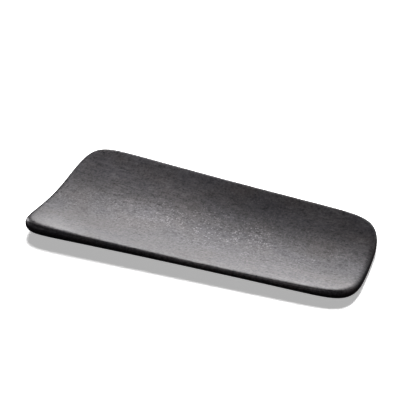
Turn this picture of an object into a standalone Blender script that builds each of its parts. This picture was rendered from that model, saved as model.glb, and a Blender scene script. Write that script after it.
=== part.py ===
"""Basalt massage stone: a honed slab bent into a shallow trough, ground from one piece of basalt.

Frame, in metres: +Z up, +X along the slab towards its narrower, thinner end, and the origin under the
middle of the slab, on the surface that it rests on. The stone is a sphere primitive whose every
vertex is moved by one formula. The sphere's equator becomes the slab's outline, the rings next to
it become the rounded rim, and the rings nearer the poles become the top and bottom faces.
"""

import math

import bmesh
import bpy
import numpy as np

# Plan: |x / half length| ** END_SQUARENESS + |y / half width| ** SIDE_SQUARENESS = 1, then tapered.
LENGTH = 0.200
MID_WIDTH = 0.0902
TAPER = 0.115  # the -X end is wider than MID_WIDTH by this share, and the +X end is narrower by it
END_SQUARENESS = 13.5
SIDE_SQUARENESS = 3.8

# Section
THICKNESS = 0.0083  # in the middle of the slab
THICKNESS_TAPER = 0.20  # the -X end is thicker than THICKNESS by this share, and the +X end is thinner
EDGE_THINNING = 0.0034  # how much less thick the long edges are, halfway along
TROUGH_DEPTH = 0.0089  # how far the top face rises from the middle to a long edge
END_LIFT = 0.0015  # how far the underside rises from the middle to an end
RIM_DEPTH_RATIO = 1.2  # how far in the rounding reaches, in half thicknesses
REST_FLAT_CUT = 0.00035  # ground off the lowest part of the underside, so that the slab doesn't rock

# Mesh
AROUND = 128  # vertices round the outline
RIM_RINGS = 6  # rings from the outline to where the rounding ends, on each face
FACE_RINGS = 7  # rings from there to the middle
TURN_SHARE = 0.4  # share of the vertices that is spread by how much the outline turns
OUTLINE_SAMPLES = 400  # points in each half of a quarter outline, when measuring it

CUTTER_HEIGHT = 0.004
CUTTER_SIDE_SHARE = 0.8  # of the slab's length and width

BASALT_COLOUR = (0.035, 0.034, 0.036, 1.0)
BASALT_ROUGHNESS = 0.5

HALF_LENGTH = LENGTH / 2
HALF_WIDTH = MID_WIDTH / 2
CORNER_SHARE = 0.5  # of the outline's sum, where a quarter outline passes from the end to the side
LEVEL_ANGLE = math.pi / 2 / (RIM_RINGS + FACE_RINGS)


def clear_scene():
    for obj in list(bpy.data.objects):
        bpy.data.objects.remove(obj, do_unlink=True)


def new_collection(name):
    collection = bpy.data.collections.new(name)
    bpy.context.scene.collection.children.link(collection)
    return collection


def basalt_material():
    material = bpy.data.materials.new("honed_basalt")
    material.use_nodes = True
    shader = material.node_tree.nodes["Principled BSDF"]
    shader.inputs["Base Color"].default_value = BASALT_COLOUR
    shader.inputs["Roughness"].default_value = BASALT_ROUGHNESS
    shader.inputs["Metallic"].default_value = 0.0
    return material


def quarter_outline():
    """(share, x, y) along the outline from the +X end to the +Y side, before the taper.

    share runs from 0 to 1 and gives closer spacing where the outline turns.
    """
    y = np.linspace(0, HALF_WIDTH * CORNER_SHARE ** (1 / SIDE_SQUARENESS), OUTLINE_SAMPLES)
    x = HALF_LENGTH * (1 - (y / HALF_WIDTH) ** SIDE_SQUARENESS) ** (1 / END_SQUARENESS)
    side_x = np.linspace(x[-1], 0, OUTLINE_SAMPLES)[1:]
    side_y = HALF_WIDTH * (1 - (side_x / HALF_LENGTH) ** END_SQUARENESS) ** (1 / SIDE_SQUARENESS)
    x = np.concatenate([x, side_x])
    y = np.concatenate([y, side_y])
    step_x = np.diff(x)
    step_y = np.diff(y)
    walked = np.concatenate([[0], np.cumsum(np.hypot(step_x, step_y))])
    turned = np.unwrap(np.arctan2(step_y, step_x))
    turned = np.concatenate([turned, turned[-1:]]) - turned[0]
    share = (1 - TURN_SHARE) * walked / walked[-1] + TURN_SHARE * turned / turned[-1]
    return share, x, y


def outward_normal(x, y):
    """The outline's unit normal at a point of its first quarter."""
    slope_x = END_SQUARENESS / HALF_LENGTH * (x / HALF_LENGTH) ** (END_SQUARENESS - 1)
    slope_y = SIDE_SQUARENESS / HALF_WIDTH * (y / HALF_WIDTH) ** (SIDE_SQUARENESS - 1)
    length = math.hypot(slope_x, slope_y)
    return slope_x / length, slope_y / length


def middle_thickness_at(x):
    """The slab's thickness along its middle line."""
    return THICKNESS * (1 - THICKNESS_TAPER * x / HALF_LENGTH)


def thickness_at(x, y):
    """The slab's thickness at a plan point, before the taper of the outline."""
    near_long_edge = (y / HALF_WIDTH) ** 2
    near_middle = 1 - (x / HALF_LENGTH) ** 2
    return middle_thickness_at(x) - EDGE_THINNING * near_middle * near_long_edge


def top_face_at(x, y):
    """The height of the trough's surface, without its rounded rim."""
    middle = middle_thickness_at(x) - REST_FLAT_CUT + END_LIFT * (x / HALF_LENGTH) ** 2
    return middle + TROUGH_DEPTH * (y / HALF_WIDTH) ** 2


def stone_point(unit_point, outline):
    """Where a vertex of the unit sphere goes."""
    east, north, up = unit_point
    share = math.atan2(abs(north), abs(east)) / (math.pi / 2)
    edge_x = float(np.interp(share, outline[0], outline[1]))
    edge_y = float(np.interp(share, outline[0], outline[2]))
    normal_x, normal_y = outward_normal(edge_x, edge_y)

    level = round(math.asin(min(abs(up), 1.0)) / LEVEL_ANGLE)
    rim_angle = min(level / RIM_RINGS, 1.0) * math.pi / 2
    inset = RIM_DEPTH_RATIO * thickness_at(edge_x, edge_y) / 2 * (1 - math.cos(rim_angle))
    from_middle = 1 - max(level - RIM_RINGS, 0) / FACE_RINGS
    x = (edge_x - inset * normal_x) * from_middle * math.copysign(1, east)
    y = (edge_y - inset * normal_y) * from_middle * math.copysign(1, north)

    half_thickness = thickness_at(x, y) / 2
    y *= 1 - TAPER * x / HALF_LENGTH
    bulge = math.copysign(half_thickness * math.sin(rim_angle), up)
    return x, y, top_face_at(x, y) - half_thickness + bulge


def make_stone(collection, material):
    mesh = bpy.data.meshes.new("massage_stone")
    bm = bmesh.new()
    bmesh.ops.create_uvsphere(
        bm,
        u_segments=AROUND,
        v_segments=2 * (RIM_RINGS + FACE_RINGS),
        radius=1.0,
    )
    outline = quarter_outline()
    for vert in bm.verts:
        vert.co = stone_point(vert.co, outline)
    bmesh.ops.recalc_face_normals(bm, faces=bm.faces)
    bm.to_mesh(mesh)
    bm.free()
    mesh.shade_smooth()
    stone = bpy.data.objects.new("massage_stone", mesh)
    stone.data.materials.append(material)
    collection.objects.link(stone)
    return stone


def grind_rest_flat(stone, collection):
    """Cuts the lowest part of the underside off at the height of the surface that it rests on."""
    mesh = bpy.data.meshes.new("rest_flat_cutter")
    bm = bmesh.new()
    bmesh.ops.create_cube(bm, size=1.0)
    size = (LENGTH * CUTTER_SIDE_SHARE, MID_WIDTH * CUTTER_SIDE_SHARE, CUTTER_HEIGHT)
    bmesh.ops.scale(bm, vec=size, verts=bm.verts)
    bm.to_mesh(mesh)
    bm.free()
    cutter = bpy.data.objects.new("rest_flat_cutter", mesh)
    cutter.location.z = -CUTTER_HEIGHT / 2
    cutter.hide_render = True
    cutter.display_type = "WIRE"
    collection.objects.link(cutter)

    grind = stone.modifiers.new("grind_rest_flat", "BOOLEAN")
    grind.operation = "DIFFERENCE"
    grind.solver = "EXACT"
    grind.object = cutter


def main():
    clear_scene()
    parts = new_collection("basalt_massage_stone")
    cutters = new_collection("cutters")
    stone = make_stone(parts, basalt_material())
    grind_rest_flat(stone, cutters)


main()
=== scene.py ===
"""Looks of the basalt massage stone: its fine surface, its material, a pale floor and studio light."""

import math
import random

import bmesh
import bpy
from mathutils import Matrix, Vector, noise
from mathutils.kdtree import KDTree


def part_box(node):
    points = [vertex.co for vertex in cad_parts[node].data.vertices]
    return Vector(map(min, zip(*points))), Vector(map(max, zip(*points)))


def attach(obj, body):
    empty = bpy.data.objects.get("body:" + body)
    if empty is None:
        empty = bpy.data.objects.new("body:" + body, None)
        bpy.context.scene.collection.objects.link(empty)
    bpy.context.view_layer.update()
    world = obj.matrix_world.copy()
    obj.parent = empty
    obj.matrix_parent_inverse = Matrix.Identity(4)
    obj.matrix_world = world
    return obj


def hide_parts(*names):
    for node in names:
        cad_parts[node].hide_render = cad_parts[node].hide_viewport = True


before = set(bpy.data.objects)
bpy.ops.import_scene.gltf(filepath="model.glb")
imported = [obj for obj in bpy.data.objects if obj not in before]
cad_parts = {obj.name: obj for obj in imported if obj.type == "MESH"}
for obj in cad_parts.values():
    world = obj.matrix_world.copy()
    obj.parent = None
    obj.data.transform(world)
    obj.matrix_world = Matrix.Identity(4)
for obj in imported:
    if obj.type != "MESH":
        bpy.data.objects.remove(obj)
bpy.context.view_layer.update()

# Lengths are in metres and angles in degrees.

# Camera: the point that it looks at, and where it stands from there
LOOK_AT = Vector((-0.0126, 0.0274, 0.00795))
VIEW_AZIMUTH = 21.46  # from -Y towards +X
VIEW_ELEVATION = 32.77
VIEW_DISTANCE = 0.6135
LENS_MM = 90.0
SENSOR_MM = 36
CLIP_START = 0.01
CLIP_END = 20

# Fine mesh
MERGE_DISTANCE = 1e-6
FOLD_LIMIT = 20  # two triangles that meet at less than this become one face
SKEW_LIMIT = 60  # how far from square that face's corners may be
CAGE_LEVELS = 2
VOXEL = 0.0007
SMOOTHING = 0.5
SMOOTHING_PASSES = 4

# Relief that honing by hand leaves: (depth, size of one swell across the length, stretch along it)
SWELLS = (
    (0.00014, 0.030, 2.2),
    (0.00005, 0.011, 1.6),
    (0.000012, 0.0036, 1.3),
)

# Open pores in the top face
PORE_SEED = 5
PORE_COUNT = 260
PORE_RADIUS = (0.0006, 0.0013)
PORE_DEPTH = (0.00002, 0.00006)
PORE_SPREAD = (0.034, 0.011)  # along and across, round the middle of the cluster
PORE_CLUSTER = Vector((0.004, -0.006))
SCATTERED_SHARE = 0.35  # of the pores, which lie anywhere on the face
FACE_TILT = 0.9  # the rim, where the surface's normal points less far up than this, has no pores

# The basalt's colours
CHARCOAL = (0.030, 0.027, 0.030, 1)
PALE_GREY = (0.057, 0.052, 0.057, 1)
BROWN = (0.052, 0.041, 0.041, 1)
SLATE = (0.034, 0.032, 0.040, 1)
FELDSPAR = (0.16, 0.155, 0.155, 1)
WARM_SHEEN = (1.0, 0.920, 0.965, 1)
COOL_SHEEN = (0.98, 0.920, 1.0, 1)

# The basalt's noise, as name: (size of a spot, detail, roughness, stretch along X, shift)
LAYERS = {
    "grain": (0.0014, 3, 0.7, 1.0, 0.0),
    "streaks": (0.0018, 2, 0.5, 3.0, 0.0),
    "mottle": (0.0045, 3, 0.6, 1.5, 0.0),
    "clouds": (0.030, 2, 0.5, 1.8, 2.0),
    "warmth": (0.016, 2, 0.5, 1.6, 3.1),
    "wear": (0.045, 2, 0.5, 1.8, 5.5),
    "bands": (0.030, 2, 0.5, 3.0, 5.0),
    "drifts": (0.012, 2, 0.5, 2.0, 5.2),
    "scratches": (0.0018, 1, 0.5, 4.0, 9.4),
}

# What the layers do, as (layer, range of its value, what that range becomes)
GRAIN_IN_COLOUR = ("grain", (0.3, 0.7), (0, 1))
BROWN_CLOUDS = ("warmth", (0.52, 0.66), (0, 0.55))
SLATE_CLOUDS = ("warmth", (0.34, 0.48), (0.7, 0))
SHEEN_CLOUDS = ("warmth", (0.38, 0.62), (0, 1))
FLECK_DRIFTS = ("drifts", (0.40, 0.58), (0.25, 1))
SCUFF_FACTORS = (
    ("scratches", (0.57, 0.70), (0, 1)),
    ("clouds", (0.45, 0.60), (0, 1)),
)
ROUGHNESS_TERMS = (
    ("mottle", (0.3, 0.7), (0.38, 0.42)),
    ("streaks", (0.35, 0.65), (-0.015, 0.015)),
    ("clouds", (0.35, 0.65), (-0.02, 0.02)),
)
GLOSS_TERMS = (
    ("grain", (0.3, 0.7), (0.20, 0.82)),
    ("streaks", (0.3, 0.7), (-0.12, 0.12)),
    ("mottle", (0.3, 0.7), (-0.11, 0.11)),
)
GLOSS_FACTORS = (
    ("wear", (0.20, 0.62), (1.22, 0.81)),
    ("bands", (0.36, 0.66), (1.12, 0.90)),
    ("clouds", (0.34, 0.66), (0.95, 1.08)),
)
HEIGHT_TERMS = (
    ("grain", (0.2, 0.8), (0, 0.6)),
    ("streaks", (0.3, 0.7), (0, 0.4)),
)
BUMP_STRENGTH = 0.5
BUMP_DISTANCE = 0.00005

# Pale flecks of feldspar, and scuffs
FLECK_SIZE = 0.0012
FLECK_SHARE = 0.30  # of the grains of that size
FLECK_EDGE = (0.15, 0.55)  # a fleck fades out between these shares of its size from its middle
FLECK_CENTRE = 0.012  # along the stone, where the flecks crowd most
CROWD_ACROSS = ((0.006, 0.022), (1, 0.25))  # distances from the middle line, and how thick the flecks lie
CROWD_ALONG = ((0.025, 0.080), (1, 0.35))  # distances from FLECK_CENTRE, and how thick they lie
FACE_FADE = (0.80, 0.92)  # as the normal's Z grows through this range, flecks, scuffs and bump fade in
FLECK_COLOUR_SHARE = 0.5
SCUFF_COLOUR_SHARE = 0.08
FLECK_GLOSS = 1.45
SCUFF_GLOSS = 0.32

# Floor
WHITE = (1, 1, 1, 1)
PAPER = (0.85, 0.85, 0.85, 1)
PAPER_ROUGHNESS = 0.9
FLOOR_SIZE = 6.0
SHADOW_LEVEL = 0.43  # how bright the floor stays where the key light doesn't reach it
GLOW_RING = (0.17, 0.7)  # between these distances from the middle, the floor's own glow grows to white

# Light: a key light for the floor, and softboxes of one size for the stone, as name: (azimuth,
# elevation, watts). Azimuth 0 is +Y, behind the stone, and 90 is +X.
KEY_PLACE = (0.02, -0.035, 0.38)
KEY_SIZE = 0.25
KEY_WATTS = 7.0
SOFTBOX_DISTANCE = 1.6
SOFTBOX_SIZE = 0.6
SOFTBOXES = {
    "left_low": (-60, 3, 7.5),
    "back": (0, 3, 7.5),
    "back_left_low": (-20, 3, 5.0),
    "back_left": (-20, 25, 4.5),
    "left_high": (-30, 38, 3.5),
    "back_high": (0, 26, 3.0),
    "top_left": (-60, 55, 2.0),
    "back_right": (20, 13, 2.5),
    "right": (60, 25, 1.0),
    "front": (180, 5, 0.5),
    "front_left": (-140, 8, 1.0),
    "left": (-100, 3, 1.0),
    "front_right": (115, 15, 0.5),
    "front_high": (180, 70, 2.5),
}


def new_object(name, data):
    obj = bpy.data.objects.new(name, data)
    bpy.context.scene.collection.objects.link(obj)
    return obj


def apply_modifiers(obj):
    graph = bpy.context.evaluated_depsgraph_get()
    made = bpy.data.meshes.new_from_object(obj.evaluated_get(graph))
    obj.modifiers.clear()
    obj.data = made


def direction(azimuth, elevation):
    """The unit vector that points there. Azimuth 0 is +Y and 90 is +X."""
    azimuth = math.radians(azimuth)
    elevation = math.radians(elevation)
    return Vector((
        math.sin(azimuth) * math.cos(elevation),
        math.cos(azimuth) * math.cos(elevation),
        math.sin(elevation),
    ))


def make_camera():
    back = direction(180 - VIEW_AZIMUTH, VIEW_ELEVATION)
    data = bpy.data.cameras.new("camera")
    data.lens = LENS_MM
    data.sensor_width = SENSOR_MM
    data.clip_start = CLIP_START
    data.clip_end = CLIP_END
    camera = new_object("camera", data)
    camera.location = LOOK_AT + back * VIEW_DISTANCE
    camera.rotation_euler = back.to_track_quat("Z", "Y").to_euler()
    bpy.context.scene.camera = camera


# --- The stone's fine surface ---

def make_stone():
    """A close, even mesh of the CAD stone, for its fine surface to be cut into."""
    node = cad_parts["massage_stone"]
    stone = new_object("stone_surface", node.data.copy())
    bm = bmesh.new()
    bm.from_mesh(stone.data)
    bmesh.ops.remove_doubles(bm, verts=bm.verts, dist=MERGE_DISTANCE)
    bmesh.ops.join_triangles(
        bm,
        faces=bm.faces,
        angle_face_threshold=math.radians(FOLD_LIMIT),
        angle_shape_threshold=math.radians(SKEW_LIMIT),
    )
    bm.to_mesh(stone.data)
    bm.free()
    cage = stone.modifiers.new("cage", "SUBSURF")
    cage.levels = CAGE_LEVELS
    cage.render_levels = CAGE_LEVELS
    remesh = stone.modifiers.new("even_mesh", "REMESH")
    remesh.mode = "VOXEL"
    remesh.voxel_size = VOXEL
    smooth = stone.modifiers.new("smooth", "SMOOTH")
    smooth.factor = SMOOTHING
    smooth.iterations = SMOOTHING_PASSES
    apply_modifiers(stone)
    stone.data.shade_smooth()
    return stone


def swell_depth(place):
    """How far the honed surface lies below the drawn one, from 0 to the sum of the swells' depths."""
    depth = 0.0
    for most, size, stretch in SWELLS:
        sample = Vector((place.x / stretch, place.y, place.z)) / size
        depth += most * (0.5 + 0.5 * noise.noise(sample))
    return depth


def pores():
    """(x, y, radius, depth) of each open pore."""
    draw = random.Random(PORE_SEED)
    low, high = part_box("massage_stone")
    found = []
    for index in range(PORE_COUNT):
        if index < SCATTERED_SHARE * PORE_COUNT:
            x = draw.uniform(low[0], high[0])
            y = draw.uniform(low[1], high[1])
        else:
            x = draw.gauss(PORE_CLUSTER.x, PORE_SPREAD[0])
            y = draw.gauss(PORE_CLUSTER.y, PORE_SPREAD[1])
        found.append((x, y, draw.uniform(*PORE_RADIUS), draw.uniform(*PORE_DEPTH)))
    return found


def cut_relief(stone):
    """Moves each vertex inward by the swells and the pores."""
    vertices = stone.data.vertices
    moves = [swell_depth(vertex.co) for vertex in vertices]
    top = [vertex.index for vertex in vertices if vertex.normal.z > FACE_TILT]
    tree = KDTree(len(top))
    for index in top:
        co = vertices[index].co
        tree.insert((co.x, co.y, 0), index)
    tree.balance()
    for x, y, radius, depth in pores():
        for _, index, away in tree.find_range((x, y, 0), radius):
            moves[index] += depth * (1 - (away / radius) ** 2)
    normals = [vertex.normal.copy() for vertex in vertices]
    for vertex, normal, move in zip(vertices, normals, moves):
        vertex.co -= normal * move
    stone.data.update()


# --- Nodes ---

def new_material(name):
    """A new material, its node tree and its shader."""
    material = bpy.data.materials.new(name)
    material.use_nodes = True
    return material, material.node_tree, material.node_tree.nodes["Principled BSDF"]


def feed(tree, socket, value):
    """Links a socket's output to an input, or sets the input to a plain value."""
    if isinstance(value, bpy.types.NodeSocket):
        tree.links.new(value, socket)
    else:
        socket.default_value = value


def object_place(tree):
    return tree.nodes.new("ShaderNodeTexCoord").outputs["Object"]


def axes(tree, vector):
    """The X, Y and Z sockets of a vector."""
    parts = tree.nodes.new("ShaderNodeSeparateXYZ")
    feed(tree, parts.inputs["Vector"], vector)
    return parts.outputs


def maths(tree, operation, first, second):
    node = tree.nodes.new("ShaderNodeMath")
    node.operation = operation
    feed(tree, node.inputs[0], first)
    feed(tree, node.inputs[1], second)
    return node.outputs["Value"]


def unsigned(tree, value):
    """The value without its sign."""
    return maths(tree, "ABSOLUTE", value, 0)


def remap(tree, value, taken, given):
    """Maps value linearly from the range taken to the range given, and clamps it there."""
    node = tree.nodes.new("ShaderNodeMapRange")
    node.clamp = True
    feed(tree, node.inputs["Value"], value)
    node.inputs["From Min"].default_value = taken[0]
    node.inputs["From Max"].default_value = taken[1]
    node.inputs["To Min"].default_value = given[0]
    node.inputs["To Max"].default_value = given[1]
    return node.outputs["Result"]


def mix_colour(tree, share, first, second):
    node = tree.nodes.new("ShaderNodeMix")
    node.data_type = "RGBA"
    colours = [socket for socket in node.inputs if socket.type == "RGBA"]
    feed(tree, node.inputs["Factor"], share)
    feed(tree, colours[0], first)
    feed(tree, colours[1], second)
    return next(socket for socket in node.outputs if socket.type == "RGBA")


def noise_layer(tree, size, detail, roughness, stretch, shift):
    """Noise whose spots are about size metres across, and stretch times that along X."""
    mapping = tree.nodes.new("ShaderNodeMapping")
    feed(tree, mapping.inputs["Vector"], object_place(tree))
    mapping.inputs["Location"].default_value = (shift, shift, shift)
    mapping.inputs["Scale"].default_value = (1 / stretch, 1, 1)
    texture = tree.nodes.new("ShaderNodeTexNoise")
    feed(tree, texture.inputs["Vector"], mapping.outputs["Vector"])
    texture.inputs["Scale"].default_value = 1 / size
    texture.inputs["Detail"].default_value = detail
    texture.inputs["Roughness"].default_value = roughness
    return texture.outputs["Fac"]


def effect(tree, layers, term):
    """One layer's value, mapped from one range to another."""
    name, taken, given = term
    return remap(tree, layers[name], taken, given)


def effects(tree, layers, terms):
    return [effect(tree, layers, term) for term in terms]


def combine(tree, operation, values):
    """All the values, added or multiplied one after the other."""
    result = values[0]
    for value in values[1:]:
        result = maths(tree, operation, result, value)
    return result


# --- The basalt ---

def face_share(tree):
    """1 on the broad faces and 0 round the rim, which the hands and the grinding keep smoother."""
    normal = tree.nodes.new("ShaderNodeNewGeometry").outputs["Normal"]
    return remap(tree, unsigned(tree, axes(tree, normal)["Z"]), FACE_FADE, (0, 1))


def crowding(tree, layers):
    """How thickly the flecks lie: in drifts, most in the middle of the trough, least round the edges."""
    place = axes(tree, object_place(tree))
    across = remap(tree, unsigned(tree, place["Y"]), *CROWD_ACROSS)
    from_centre = maths(tree, "SUBTRACT", place["X"], FLECK_CENTRE)
    along = remap(tree, unsigned(tree, from_centre), *CROWD_ALONG)
    return combine(tree, "MULTIPLY", [across, along, effect(tree, layers, FLECK_DRIFTS)])


def fleck_spots(tree):
    """1 in the middle of the grains that are flecks, 0 elsewhere."""
    cells = tree.nodes.new("ShaderNodeTexVoronoi")
    feed(tree, cells.inputs["Vector"], object_place(tree))
    cells.inputs["Scale"].default_value = 1 / FLECK_SIZE
    chance = tree.nodes.new("ShaderNodeSeparateColor")
    feed(tree, chance.inputs["Color"], cells.outputs["Color"])
    picked = maths(tree, "LESS_THAN", chance.outputs["Red"], FLECK_SHARE)
    near = remap(tree, cells.outputs["Distance"], FLECK_EDGE, (1, 0))
    return maths(tree, "MULTIPLY", picked, near)


def basalt_colour(tree, layers, flecks, scuffs):
    colour = mix_colour(tree, effect(tree, layers, GRAIN_IN_COLOUR), CHARCOAL, PALE_GREY)
    colour = mix_colour(tree, effect(tree, layers, BROWN_CLOUDS), colour, BROWN)
    colour = mix_colour(tree, effect(tree, layers, SLATE_CLOUDS), colour, SLATE)
    for marks, share in ((flecks, FLECK_COLOUR_SHARE), (scuffs, SCUFF_COLOUR_SHARE)):
        colour = mix_colour(tree, maths(tree, "MULTIPLY", marks, share), colour, FELDSPAR)
    return colour


def basalt_gloss(tree, layers, flecks, scuffs):
    gloss = combine(tree, "ADD", effects(tree, layers, GLOSS_TERMS))
    gloss = combine(tree, "MULTIPLY", [gloss] + effects(tree, layers, GLOSS_FACTORS))
    for marks, added in ((flecks, FLECK_GLOSS), (scuffs, SCUFF_GLOSS)):
        gloss = maths(tree, "ADD", gloss, maths(tree, "MULTIPLY", marks, added))
    return gloss


def basalt_bump(tree, layers, face):
    bump = tree.nodes.new("ShaderNodeBump")
    feed(tree, bump.inputs["Height"], combine(tree, "ADD", effects(tree, layers, HEIGHT_TERMS)))
    feed(tree, bump.inputs["Strength"], maths(tree, "MULTIPLY", face, BUMP_STRENGTH))
    bump.inputs["Distance"].default_value = BUMP_DISTANCE
    return bump.outputs["Normal"]


def basalt():
    """Honed basalt: dark and fine-grained, with faint streaks, pale flecks and brown and bluish clouds."""
    material, tree, shader = new_material("basalt")
    layers = {name: noise_layer(tree, *settings) for name, settings in LAYERS.items()}
    face = face_share(tree)
    flecks = combine(tree, "MULTIPLY", [fleck_spots(tree), crowding(tree, layers), face])
    scuffs = combine(tree, "MULTIPLY", effects(tree, layers, SCUFF_FACTORS) + [face])
    rough = combine(tree, "ADD", effects(tree, layers, ROUGHNESS_TERMS))
    sheen = mix_colour(tree, effect(tree, layers, SHEEN_CLOUDS), COOL_SHEEN, WARM_SHEEN)
    feed(tree, shader.inputs["Base Color"], basalt_colour(tree, layers, flecks, scuffs))
    feed(tree, shader.inputs["Roughness"], rough)
    feed(tree, shader.inputs["Specular IOR Level"], basalt_gloss(tree, layers, flecks, scuffs))
    feed(tree, shader.inputs["Specular Tint"], sheen)
    feed(tree, shader.inputs["Normal"], basalt_bump(tree, layers, face))
    return material


# --- The studio ---

def paper():
    """Matt paper that glows: faintly in the middle of the floor, and white further out."""
    material, tree, shader = new_material("paper")
    away = tree.nodes.new("ShaderNodeVectorMath")
    away.operation = "LENGTH"
    feed(tree, away.inputs[0], object_place(tree))
    glow = remap(tree, away.outputs["Value"], GLOW_RING, (SHADOW_LEVEL, 1.0))
    feed(tree, shader.inputs["Emission Strength"], glow)
    shader.inputs["Base Color"].default_value = PAPER
    shader.inputs["Roughness"].default_value = PAPER_ROUGHNESS
    shader.inputs["Specular IOR Level"].default_value = 0.0
    shader.inputs["Emission Color"].default_value = WHITE
    return material


def make_floor():
    """A pale floor whose glow keeps its one shadow light. It doesn't light the stone."""
    bpy.ops.mesh.primitive_plane_add(size=FLOOR_SIZE)
    floor = bpy.context.object
    floor.name = "floor"
    floor.data.materials.append(paper())
    floor.visible_diffuse = False
    floor.visible_glossy = False
    return floor


def area_light(name, place, size, watts, lit):
    """A round area light that faces the origin and lights only the object lit."""
    data = bpy.data.lights.new(name, "AREA")
    data.shape = "DISK"
    data.size = size
    data.energy = watts
    light = new_object(name, data)
    light.location = place
    light.rotation_euler = Vector(place).to_track_quat("Z", "Y").to_euler()
    light.visible_camera = False
    receivers = bpy.data.collections.new(name + "_lights")
    receivers.objects.link(lit)
    light.light_linking.receiver_collection = receivers


def make_world():
    """A white background that lights nothing."""
    world = bpy.data.worlds.new("studio")
    bpy.context.scene.world = world
    world.use_nodes = True
    background = world.node_tree.nodes["Background"]
    background.inputs["Color"].default_value = WHITE
    background.inputs["Strength"].default_value = 1.0
    world.cycles_visibility.diffuse = False
    world.cycles_visibility.glossy = False


def make_light(floor, stone):
    make_world()
    area_light("key", KEY_PLACE, KEY_SIZE, KEY_WATTS, floor)
    for name, (azimuth, elevation, watts) in SOFTBOXES.items():
        place = direction(azimuth, elevation) * SOFTBOX_DISTANCE
        area_light(name, place, SOFTBOX_SIZE, watts, stone)


make_camera()
floor = make_floor()
stone = make_stone()
cut_relief(stone)
stone.data.materials.clear()
stone.data.materials.append(basalt())
make_light(floor, stone)
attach(stone, "root")
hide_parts("massage_stone")
bpy.context.scene.view_settings.view_transform = "Standard"
